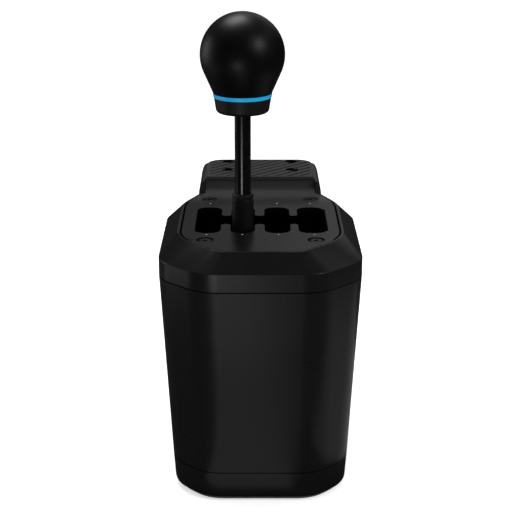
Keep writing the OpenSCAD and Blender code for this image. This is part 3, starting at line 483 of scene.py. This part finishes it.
class Profile:
    """A half section in the XZ plane that a lathe turns about the Z axis."""

    def __init__(self, radius: float, height: float) -> None:
        """Starts the section at a radius and a height."""
        self.form = bmesh.new()
        self.last = self.form.verts.new((radius, 0.0, height))

    def line(self, radius: float, height: float) -> "Profile":
        """Draws a straight line to a radius and a height."""
        corner = self.form.verts.new((radius, 0.0, height))
        self.form.edges.new((self.last, corner))
        self.last = corner
        return self

    def arc(self, radius: float, height: float, degrees: float, steps: int) -> "Profile":
        """Draws an arc about a centre.

        Args:
            radius: Distance of the centre from the axis.
            height: Height of the centre.
            degrees: Angle of the arc, from +Z to +X if positive.
            steps: How many straight pieces it has.

        Returns:
            The profile itself.
        """
        made = bmesh.ops.spin(self.form, geom=[self.last], cent=(radius, 0.0, height),
                              axis=(0.0, 1.0, 0.0), angle=math.radians(degrees), steps=steps)
        self.last = next(g for g in made["geom_last"] if isinstance(g, bmesh.types.BMVert))
        return self

    def turned(self, x: float, y: float, steps: int = 96) -> bmesh.types.BMesh:
        """Turns the section into a solid.

        Args:
            x: Place of the axis across.
            y: Place of the axis from front to rear.
            steps: How many steps a full turn has.

        Returns:
            The closed form.
        """
        bmesh.ops.spin(self.form, geom=self.form.verts[:] + self.form.edges[:],
                       cent=(0.0, 0.0, 0.0), axis=(0.0, 0.0, 1.0), angle=FULL_TURN, steps=steps,
                       use_merge=True)
        bmesh.ops.remove_doubles(self.form, verts=self.form.verts, dist=AXIS_WELD)
        bmesh.ops.recalc_face_normals(self.form, faces=self.form.faces)
        bmesh.ops.translate(self.form, verts=self.form.verts, vec=(x, y, 0.0))
        return self.form


def coil(centre: Vector, axis: Vector, radius: float, wire: float, length: float,
         turns: float, steps: int = 28) -> bmesh.types.BMesh:
    """Winds a round wire into a coil.

    Args:
        centre: Start of the coil on its axis.
        axis: Unit vector along the coil.
        radius: Radius of the coil at the middle of the wire.
        wire: Diameter of the wire.
        length: Length from the first wire middle to the last.
        turns: Number of turns.
        steps: Steps in one turn.

    Returns:
        The closed form.
    """
    form = bmesh.new()
    side = axis.orthogonal().normalized()
    turn = axis.cross(side).to_track_quat("Z", "Y").to_matrix().to_4x4()
    bmesh.ops.create_circle(form, cap_ends=True, segments=WIRE_SIDES, radius=wire / 2.0,
                            matrix=Matrix.Translation(centre + side * radius) @ turn)
    count = int(turns * steps)
    bmesh.ops.spin(form, geom=form.verts[:] + form.edges[:] + form.faces[:], cent=centre, axis=axis,
                   dvec=axis * (length / count), angle=FULL_TURN * turns, steps=count)
    bmesh.ops.recalc_face_normals(form, faces=form.faces)
    return form


@dataclass
class Housing:
    """Main shell, top bezel, base cover and the pad that they stand on."""

    seam: float = 0.55 * MM
    seam_edge: float = 0.3 * MM
    shoulder_edge: float = 0.25 * MM
    rim_edge: float = 0.35 * MM
    shoulder_drop: float = 10.5 * MM
    level: float = 0.2 * MM
    seam_angle: float = 20.0

    def near(self, height: float) -> EdgePick:
        """Returns a test for outer edges at a height."""
        level = at_level(height, self.level, self.seam_angle)
        return lambda e: level(e) and outside(e)

    def build_shell(self) -> None:
        """Makes the main shell, cut back above the base cover's rim for the seam."""
        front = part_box("base_cover")[0].y
        rim = max(v.co.z for v in frame["nodes"]["base_cover"].data.vertices
                  if v.co.y < front + self.seam)
        foot = rim + self.seam
        form = merged("main_shell")
        cut_level(form, foot)
        soften(form, self.seam_edge, self.near(foot))
        place("shell", form, HOUSING_BLACK, "housing", ["main_shell"])

    def build_bezel(self) -> None:
        """Makes the top bezel, cut back for the seam, with a softened shoulder and rim."""
        low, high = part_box("top_bezel")
        foot = low.z + self.seam
        form = merged("top_bezel")
        cut_level(form, foot)
        soften(form, self.seam_edge, self.near(foot))
        soften(form, self.shoulder_edge, self.near(high.z - self.shoulder_drop))
        soften(form, self.rim_edge, at_level(high.z, self.level))
        place("bezel", form, BEZEL_BLACK, "housing", ["top_bezel"])

    def build_base(self) -> None:
        """Makes the base cover and dresses its pad and screws."""
        place("base", merged("base_cover"), HOUSING_BLACK, "housing", ["base_cover"])
        place("foot_pad", merged("base_pad"), PAD_GREY, "housing", ["base_pad"])
        dress(SCREW_BLACK, "base_screws")

    def build(self) -> None:
        """Builds the whole housing."""
        self.build_shell()
        self.build_bezel()
        self.build_base()


@dataclass
class GatePlate:
    """Slotted plate with its screws and a painted dot at both ends of each slot."""

    edge: float = 0.3 * MM
    corner: float = 60.0
    slot_pitch: float = 21.6 * MM
    slot_count: int = 4
    rest_slot: int = 1
    dot_front: float = -31.3 * MM
    dot_rear: float = 37.5 * MM
    dot_radius: float = 0.5 * MM
    dot_height: float = 0.06 * MM
    dot_taper: float = 0.85
    dot_sides: int = 20
    groove: float = 0.9 * MM
    side_x: float = 40.0 * MM
    side_y: float = 42.0 * MM
    sideways: float = 0.5
    upright: float = 0.3
    level: float = 0.95
    slots_x: float = 41.0 * MM
    slots_front: float = -30.0 * MM
    slots_rear: float = 36.0 * MM

    def build(self) -> None:
        """Builds the plate, with painted shade in its slots and side groove and painted light on
        its ramp, its screws and its dots.
        """
        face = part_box("top_bezel")[1].z
        form = merged("gate_plate")
        rim = at_level(face, self.edge, self.corner)
        # A narrow bevel along the plate's sides; its faces take painted shade and read as a dark
        # groove beside the rim.
        soften(form, self.groove, lambda e: rim(e) and self.flank(e), segments=1)
        soften(form, self.edge, rim)
        # Painted shade on the slot walls and the groove faces.
        for wall in form.faces:
            if self.in_slot(wall) or self.in_groove(wall):
                wall.material_index = FaceSlot.SHADE
            # Painted light: the ramp faces take the lighter copy of the plate coat.
            elif wall.calc_center_median().z > face + self.edge:
                wall.material_index = FaceSlot.RAMP
        plate = place("gate_plate_coated", form, PLATE_COAT, "housing", ["gate_plate"])
        plate.data.materials.append(PAINTED_SHADE.material())
        plate.data.materials.append(RAMP_PAINTED_LIGHT.material())
        screws = merged("plate_screws")
        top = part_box("plate_screws")[1].z
        soften(screws, self.edge, at_level(top, self.edge))
        place("plate_screws_black", screws, SCREW_BLACK, "housing", ["plate_screws"])
        self.build_dots(face)

    def flank(self, edge: bmesh.types.BMEdge) -> bool:
        """Tells whether an edge runs along the plate's left or right side."""
        spot = middle(edge)
        return (abs(spot.x) > self.side_x and abs(spot.y) < self.side_y
                and any(abs(f.normal.x) > self.sideways for f in edge.link_faces))

    def in_groove(self, wall: bmesh.types.BMFace) -> bool:
        """Tells whether a face slopes down to the groove beside the rim."""
        return (self.upright < wall.normal.z < self.level
                and abs(wall.calc_center_median().x) > self.side_x)

    def in_slot(self, wall: bmesh.types.BMFace) -> bool:
        """Tells whether a face is a wall of the slots."""
        spot = wall.calc_center_median()
        return (abs(wall.normal.z) < self.upright and abs(spot.x) < self.slots_x
                and self.slots_front < spot.y < self.slots_rear)

    def build_dots(self, face: float) -> None:
        """Paints the dots on the plate.

        Args:
            face: Height of the plate's face.
        """
        rod_low, rod_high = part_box("lever_rod")
        rest_x = (rod_low.x + rod_high.x) / 2.0
        dots = bmesh.new()
        for step in range(self.slot_count):
            x = rest_x + (step - self.rest_slot) * self.slot_pitch
            for y in (self.dot_front, self.dot_rear):
                bmesh.ops.create_cone(
                    dots, cap_ends=True, segments=self.dot_sides, radius1=self.dot_radius,
                    radius2=self.dot_radius * self.dot_taper, depth=2.0 * self.dot_height,
                    matrix=Matrix.Translation((x, y, face)))
        place("gate_dots", dots, MARK_PAINT, "housing")


@dataclass
class Lever:
    """Rod, sleeve and the bulb-shaped knob with its coloured ring."""

    rod_chamfer: float = 0.6 * MM
    sleeve_edge: float = 0.25 * MM
    sleeve_rim: float = 6.0 * MM
    sleeve_angle: float = 30.0
    ring_proud: float = 0.12 * MM
    knob_steps: int = 40
    knob_sides: int = 128

    def __post_init__(self) -> None:
        """Reads the lever's axis from its rod."""
        low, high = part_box("lever_rod")
        self.x = (low.x + high.x) / 2.0
        self.y = (low.y + high.y) / 2.0
        self.rod_r = (high.x - low.x) / 2.0

    def build_rod(self) -> None:
        """Turns the rod, with a chamfer at its lower end."""
        low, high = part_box("lever_rod")
        shape = Profile(0.0, low.z).line(self.rod_r - self.rod_chamfer, low.z)
        shape.line(self.rod_r, low.z + self.rod_chamfer).line(self.rod_r, high.z).line(0.0, high.z)
        place("rod", shape.turned(self.x, self.y), ROD_GLOSS, "lever", ["lever_rod"])

    def build_sleeve(self) -> None:
        """Rounds the sleeve's upper rim and the groove below it."""
        form = merged("lever_sleeve")
        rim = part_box("lever_sleeve")[1].z - self.sleeve_rim
        soften(form, self.sleeve_edge,
               lambda e: sharp(e, self.sleeve_angle) and middle(e).z > rim)
        place("sleeve", form, SLEEVE_MATT, "lever", ["lever_sleeve"])

    def build_knob(self) -> None:
        """Turns the knob: a flank that runs in a tangent to the round top."""
        low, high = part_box("knob_body")
        ring_low, ring_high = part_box("knob_ring")
        insert_low, insert_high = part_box("knob_insert")
        radius = (high.x - low.x) / 2.0
        centre = high.z - radius
        base_r = (ring_high.x - ring_low.x) / 2.0
        inner_r = (insert_high.x - insert_low.x) / 2.0
        drop = centre - low.z
        turn = math.atan2(base_r, drop) + math.acos(radius / math.hypot(base_r, drop))
        shape = Profile(0.0, insert_high.z).line(inner_r, insert_high.z).line(inner_r, low.z)
        shape.line(base_r - 2.0 * self.ring_proud, low.z)
        shape.line(base_r, low.z + 2.0 * self.ring_proud)
        shape.line(radius * math.sin(turn), centre - radius * math.cos(turn))
        shape.arc(0.0, centre, math.degrees(turn) - 180.0, self.knob_steps)
        place("knob", shape.turned(self.x, self.y, self.knob_sides), KNOB_SATIN, "lever",
              ["knob_body"], flat_faces=False)

    def build_collar(self) -> None:
        """Makes the collar, and turns the ring with its fine edges."""
        place("collar", merged("knob_collar"), SLEEVE_MATT, "lever", ["knob_collar"],
              flat_faces=False)
        low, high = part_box("knob_ring")
        insert_low, insert_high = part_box("knob_insert")
        inner_r = (insert_high.x - insert_low.x) / 2.0
        outer_r = (high.x - low.x) / 2.0
        edge = self.ring_proud
        shape = Profile(inner_r, low.z).line(outer_r - 3.0 * edge, low.z)
        shape.line(outer_r - 2.0 * edge, low.z + edge).line(outer_r, high.z - edge)
        shape.line(outer_r - edge, high.z).line(inner_r, high.z).line(inner_r, low.z)
        place("ring", shape.turned(self.x, self.y), RING_BLUE, "lever", ["knob_ring"])

    def build(self) -> None:
        """Builds the whole lever."""
        self.build_rod()
        self.build_sleeve()
        self.build_collar()
        self.build_knob()
        dress(BUSH_BRASS, "knob_insert")
        dress(GROUND_STEEL, "lever_hub", "lever_pin")


@dataclass
class DeskClamp:
    """Bracket with its hook and pads, and the screw that clamps it."""

    edge: float = 0.5 * MM
    rib_edge: float = 0.15 * MM
    grip_edge: float = 1.0 * MM
    grip_steps: int = 3
    bend: float = 25.0
    corner: float = 60.0
    short_edge: float = 4.0 * MM
    hook_depth: float = 12.0 * MM
    arm_reach: float = 45.0 * MM
    thread_pitch: float = 2.5 * MM
    thread_depth: float = 0.75 * MM
    thread_root: float = 0.1 * MM
    root_share: float = 0.4
    crest_share: float = 0.06
    thread_spare: float = 0.5
    thread_steps: int = 24
    thread_end: float = 3.0 * MM
    tip_step: float = 1.0 * MM
    neck_gap: float = 0.4 * MM
    spindle_sides: int = 48
    upright: float = 0.3
    hole_reach: float = 4.3 * MM

    def build_bracket(self) -> None:
        """Rounds the bracket's outer edges."""
        form = merged("clamp_bracket")
        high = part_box("clamp_bracket")[1]

        def outer(edge: bmesh.types.BMEdge) -> bool:
            """Tells whether an edge is a long sharp one of the hook or the arm."""
            spot = middle(edge)
            return (sharp(edge, self.bend) and edge.calc_length() > self.short_edge
                    and (spot.z > high.z - self.hook_depth or spot.y > high.y - self.arm_reach))

        soften(form, self.edge, outer)
        place("bracket", form, BRACKET_COAT, "housing", ["clamp_bracket"])

    def in_hole(self, wall: bmesh.types.BMFace) -> bool:
        """Tells whether a face lies in one of the hook's bolt holes."""
        mount = next(m for m in frame["record"]["mounts"] if m["name"] == "hook_bolts")
        pitch_x, pitch_y = mount["dims"]["spacing_x_mm"], mount["dims"]["spacing_y_mm"]
        spot = wall.calc_center_median() - Vector(mount["pos_m"])
        return math.hypot(abs(spot.x) - pitch_x * MM / 2.0,
                          abs(spot.y) - pitch_y * MM / 2.0) < self.hole_reach

    def build_pads(self) -> None:
        """Makes the ribbed grip pad, with painted shade on the walls of its bolt holes, and the
        plain pads.
        """
        grip = merged("hook_grip_pad")
        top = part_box("hook_grip_pad")[1].z
        soften(grip, self.rib_edge, at_level(top, self.rib_edge))
        # Painted shade: the bolt-hole walls go near-black.
        for wall in grip.faces:
            if abs(wall.normal.z) < self.upright and self.in_hole(wall):
                wall.material_index = FaceSlot.SHADE
        pad = place("grip_pad", grip, GRIP_RUBBER, "housing", ["hook_grip_pad"])
        pad.data.materials.append(PAINTED_SHADE.material())
        for node in ("hook_under_pad", "back_pad", "clamp_pad_facing"):
            form = merged(node)
            soften(form, self.edge, lambda e: sharp(e, self.corner))
            place(node + "_rubber", form, PAD_GREY, body_of(node), [node])

    def build_spindle(self) -> None:
        """Cuts the thread of the clamp screw and rounds its grip."""
        low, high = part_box("clamp_screw")
        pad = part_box("clamp_pad")[0]
        x = (low.x + high.x) / 2.0
        y = (low.y + high.y) / 2.0
        outer = (high.x - low.x) / 2.0
        core = outer - self.thread_depth
        tip = outer - self.tip_step
        neck = pad.z - self.neck_gap
        shape = Profile(0.0, low.z).line(outer, low.z).line(outer, low.z + self.thread_end)
        shape.line(core, low.z + self.thread_end + self.thread_depth).line(core, neck)
        shape.line(tip, neck).line(tip, high.z).line(0.0, high.z)
        place("clamp_spindle_core", shape.turned(x, y, self.spindle_sides), GROUND_STEEL,
              "clamp_spindle", ["clamp_screw"])
        start = low.z + self.thread_end + self.thread_pitch
        turns = math.floor((neck - start) / self.thread_pitch - self.thread_spare)
        ridge = bmesh.new()
        root = core - self.thread_root
        foot, crest = self.root_share * self.thread_pitch, self.crest_share * self.thread_pitch
        corners = [ridge.verts.new((x + r, y, start + z)) for r, z in (
            (root, -foot), (outer, -crest), (outer, crest), (root, foot))]
        ridge.faces.new(corners)
        count = turns * self.thread_steps
        bmesh.ops.spin(ridge, geom=ridge.verts[:] + ridge.edges[:] + ridge.faces[:],
                       cent=(x, y, 0.0), axis=(0.0, 0.0, 1.0), angle=FULL_TURN * turns, steps=count,
                       dvec=(0.0, 0.0, self.thread_pitch * turns / count))
        bmesh.ops.recalc_face_normals(ridge, faces=ridge.faces)
        place("clamp_spindle_thread", ridge, GROUND_STEEL, "clamp_spindle", flat_faces=False)
        grip = merged("clamp_knob")
        soften(grip, self.grip_edge, lambda e: sharp(e, self.corner), segments=self.grip_steps)
        place("star_grip", grip, HOUSING_BLACK, "clamp_spindle", ["clamp_knob"])
        presser = merged("clamp_pad")
        soften(presser, self.edge, lambda e: sharp(e, self.corner))
        place("clamp_foot_coated", presser, BRACKET_COAT, "clamp_foot", ["clamp_pad"])

    def build(self) -> None:
        """Builds the whole clamp."""
        self.build_bracket()
        self.build_pads()
        self.build_spindle()
        dress(SCREW_BLACK, "bracket_screws")
        dress(BUSH_BRASS, "clamp_nut")


@dataclass
class Mechanism:
    """Gimbal, detent, springs and sensors inside the housing."""

    coil_wire: float = 1.35 * MM
    coil_turns: float = 4.0
    coil_inset: float = 0.6
    detent_wire: float = 0.5 * MM
    detent_turns: float = 3.0
    detent_travel: float = 1.25 * MM
    tongue: tuple[float, float, float] = (6.4 * MM, 6.0 * MM, 0.7 * MM)
    tongue_inset: float = 1.0 * MM
    tongue_edge: float = 0.2 * MM

    def build_springs(self) -> None:
        """Winds the two centring springs and the detent spring."""
        low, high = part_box("select_springs")
        yoke_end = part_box("gimbal_yoke")[1].y
        inset = self.coil_inset * self.coil_wire
        centre_x = (low.x + high.x) / 2.0
        centre_z = (low.z + high.z) / 2.0
        radius = (high.z - low.z) / 2.0 - self.coil_wire / 2.0
        length = high.y - yoke_end - 2.0 * inset
        for side, name in ((1.0, "rear"), (-1.0, "front")):
            start = Vector((centre_x, side * (yoke_end + inset), centre_z))
            form = coil(start, Vector((0.0, side, 0.0)), radius, self.coil_wire, length,
                        self.coil_turns)
            replaced = ["select_springs"] if side > 0.0 else []
            place("centring_spring_" + name, form, SPRING_STEEL, "housing", replaced,
                  flat_faces=False)
        low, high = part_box("detent_spring")
        start = Vector(((low.x + high.x) / 2.0, 0.0, low.z + self.detent_wire / 2.0))
        form = coil(start, Vector((0.0, 0.0, 1.0)), (high.x - low.x - self.detent_wire) / 2.0,
                    self.detent_wire, high.z - low.z - self.detent_wire, self.detent_turns)
        wound = place("detent_coil", form, SPRING_STEEL, "lever", ["detent_spring"],
                      flat_faces=False)
        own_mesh(wound)

    def build_port(self) -> None:
        """Puts the contact tongue into the port."""
        low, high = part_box("usb_port")
        middle_of_port = (low + high) / 2.0
        width, depth, height = self.tongue
        form = bmesh.new()
        size = Matrix.Diagonal((width, depth, height, 1.0))
        spot = Matrix.Translation((middle_of_port.x, high.y - self.tongue_inset - depth / 2.0,
                                   middle_of_port.z))
        bmesh.ops.create_cube(form, size=1.0, matrix=spot @ size)
        soften(form, self.tongue_edge, sharp)
        place("port_tongue", form, HOUSING_BLACK, "housing")

    def build(self) -> None:
        """Builds the springs and dresses the rest."""
        self.build_springs()
        self.build_port()
        dress(CHASSIS_STEEL, "chassis_frame")
        dress(SCREW_BLACK, "chassis_screws")
        dress(BUSH_BRASS, "select_bushes", "lever_bushes")
        dress(DETENT_PLASTIC, "detent_cradle")
        dress(BOARD_GREEN, "select_sensor_board", "gear_sensor_board", "main_board")
        dress(PLATED_METAL, "usb_port", "select_magnet", "gear_magnet")
        dress(YOKE_ALLOY, "gimbal_yoke")
        dress(GROUND_STEEL, "select_axles", "detent_plunger")


@dataclass(frozen=True)
class Lamp:
    """One soft studio lamp."""

    name: str
    spot: tuple[float, float, float]
    aim: tuple[float, float, float]
    size: tuple[float, float]
    power: float

    def build(self) -> None:
        """Hangs the lamp and turns it to its aim."""
        light = bpy.data.lights.new(self.name, "AREA")
        light.shape = "RECTANGLE"
        light.size, light.size_y = self.size
        light.energy = self.power
        holder = bpy.data.objects.new(self.name, light)
        holder.location = self.spot
        toward = Vector(self.aim) - Vector(self.spot)
        holder.rotation_euler = toward.to_track_quat("-Z", "Y").to_euler()
        holder.visible_camera = False
        bpy.context.scene.collection.objects.link(holder)


@dataclass
class Studio:
    """Floor, surroundings, lamps and camera."""

    floor_size: float = 14.0
    floor_tone: float = 0.86
    floor_lift: float = 0.5
    floor_seen: float = 0.03
    floor_roughness: float = 0.9
    fill: float = 0.65
    backdrop_way: tuple[float, float, float] = (0.25, 0.85, 0.46)
    backdrop_edge: tuple[float, float] = (0.9, 1.0)
    dim: float = 0.018
    glow: float = 0.48
    camera_spot: tuple[float, float, float] = (-0.00269, -0.77584, 0.38697)
    camera_pitch: float = 17.97
    lens_px: float = 1300.0
    frame_px: float = 512.0
    sensor: float = 36.0

    LAMPS = (
        Lamp("Overhead box", (-0.2, 0.45, 1.25), (-0.01, 0.0, 0.2), (0.58, 0.5), 10.0),
        Lamp("Left rear strip", (-1.05, 0.45, 0.32), (0.0, 0.0, 0.2), (0.5, 0.6), 2.4),
        Lamp("Right front box", (0.8, -0.6, 0.85), (0.0, 0.0, 0.15), (0.35, 0.35), 5.0),
        Lamp("Right top box", (0.7, 0.27, 0.85), (0.0, 0.0, 0.15), (0.4, 0.4), 0.25),
        Lamp("Rod card", (-0.16, -0.63, 0.01), (-0.16, -0.63, 1.0), (0.2, 0.16), 1.4),
        Lamp("Front card", (-0.035, -0.35, 0.01), (-0.035, -0.35, 1.0), (0.1, 0.26), 0.075),
        Lamp("Near card", (-0.015, -0.15, 0.002), (-0.015, -0.15, 1.0), (0.07, 0.143), 0.016),
        Lamp("Right card", (0.2, 0.0, 0.01), (0.2, 0.0, 1.0), (0.27, 0.24), 0.065),
        Lamp("Left card", (-0.51, 0.0, 0.01), (-0.51, 0.0, 1.0), (0.22, 0.24), 0.145),
    )

    def build_floor(self) -> None:
        """Lays the pale floor, which keeps the shadow and looks white to the camera."""
        form = bmesh.new()
        bmesh.ops.create_grid(form, x_segments=1, y_segments=1, size=self.floor_size / 2.0)
        mesh = bpy.data.meshes.new("studio_floor")
        form.to_mesh(mesh)
        form.free()
        floor = bpy.data.objects.new("studio_floor", mesh)
        bpy.context.scene.collection.objects.link(floor)
        paint = bpy.data.materials.new("Studio floor")
        paint.use_nodes = True
        nodes, links = paint.node_tree.nodes, paint.node_tree.links
        shader = nodes["Principled BSDF"]
        tone, seen = self.floor_tone, self.floor_seen
        shades = nodes.new("ShaderNodeMix")
        shades.data_type = "RGBA"
        shades.inputs["A"].default_value = (tone, tone, tone, 1.0)
        shades.inputs["B"].default_value = (seen, seen, seen, 1.0)
        links.new(shades.outputs["Result"], shader.inputs["Base Color"])
        shader.inputs["Roughness"].default_value = self.floor_roughness
        shader.inputs["Specular IOR Level"].default_value = 0.0
        shader.inputs["Emission Color"].default_value = WHITE
        rays = nodes.new("ShaderNodeLightPath")
        lift = nodes.new("ShaderNodeMath")
        lift.operation = "MULTIPLY"
        lift.inputs[1].default_value = self.floor_lift
        links.new(rays.outputs["Is Glossy Ray"], shades.inputs["Factor"])
        links.new(rays.outputs["Is Camera Ray"], lift.inputs[0])
        links.new(lift.outputs[0], shader.inputs["Emission Strength"])
        mesh.materials.append(paint)

    def build_world(self) -> None:
        """Makes white surroundings for the camera and a pale backdrop for reflections."""
        world = bpy.data.worlds.new("Studio")
        bpy.context.scene.world = world
        world.use_nodes = True
        nodes, links = world.node_tree.nodes, world.node_tree.links
        light = nodes["Background"]
        light.inputs["Color"].default_value = WHITE
        rays = nodes.new("ShaderNodeLightPath")
        coords = nodes.new("ShaderNodeTexCoord")
        facing = nodes.new("ShaderNodeVectorMath")
        facing.operation = "DOT_PRODUCT"
        facing.inputs[1].default_value = self.backdrop_way
        links.new(coords.outputs["Generated"], facing.inputs[0])
        backdrop = nodes.new("ShaderNodeMapRange")
        backdrop.interpolation_type = "SMOOTHSTEP"
        start, end = self.backdrop_edge
        backdrop.inputs["From Min"].default_value = start
        backdrop.inputs["From Max"].default_value = end
        backdrop.inputs["To Min"].default_value = self.dim
        backdrop.inputs["To Max"].default_value = self.glow
        links.new(facing.outputs["Value"], backdrop.inputs["Value"])
        glossy = nodes.new("ShaderNodeMix")
        glossy.inputs["A"].default_value = self.fill
        links.new(rays.outputs["Is Glossy Ray"], glossy.inputs["Factor"])
        links.new(backdrop.outputs["Result"], glossy.inputs["B"])
        clear = nodes.new("ShaderNodeMath")
        clear.operation = "MAXIMUM"
        links.new(rays.outputs["Is Camera Ray"], clear.inputs[0])
        links.new(rays.outputs["Is Transmission Ray"], clear.inputs[1])
        total = nodes.new("ShaderNodeMath")
        total.operation = "MAXIMUM"
        links.new(clear.outputs[0], total.inputs[0])
        links.new(glossy.outputs["Result"], total.inputs[1])
        links.new(total.outputs[0], light.inputs["Strength"])

    def build_camera(self) -> None:
        """Sets up the camera at the photograph's viewing angle."""
        lens = bpy.data.cameras.new("Camera")
        lens.sensor_width = self.sensor
        lens.lens = self.lens_px / self.frame_px * self.sensor
        camera = bpy.data.objects.new("Camera", lens)
        camera.location = self.camera_spot
        camera.rotation_euler = (math.radians(90.0 - self.camera_pitch), 0.0, 0.0)
        bpy.context.scene.collection.objects.link(camera)
        bpy.context.scene.camera = camera

    def build(self) -> None:
        """Builds the whole studio."""
        bpy.context.scene.view_settings.view_transform = "Standard"
        self.build_floor()
        self.build_world()
        self.build_camera()
        for lamp in self.LAMPS:
            lamp.build()


def main() -> None:
    """Builds the studio and each sub-assembly in order."""
    logging.basicConfig(level=logging.INFO, format="%(name)s: %(message)s")
    Studio().build()
    for assembly in (Housing(), GatePlate(), Lever(), DeskClamp(), Mechanism()):
        assembly.build()


if __name__ == "__main__":
    main()
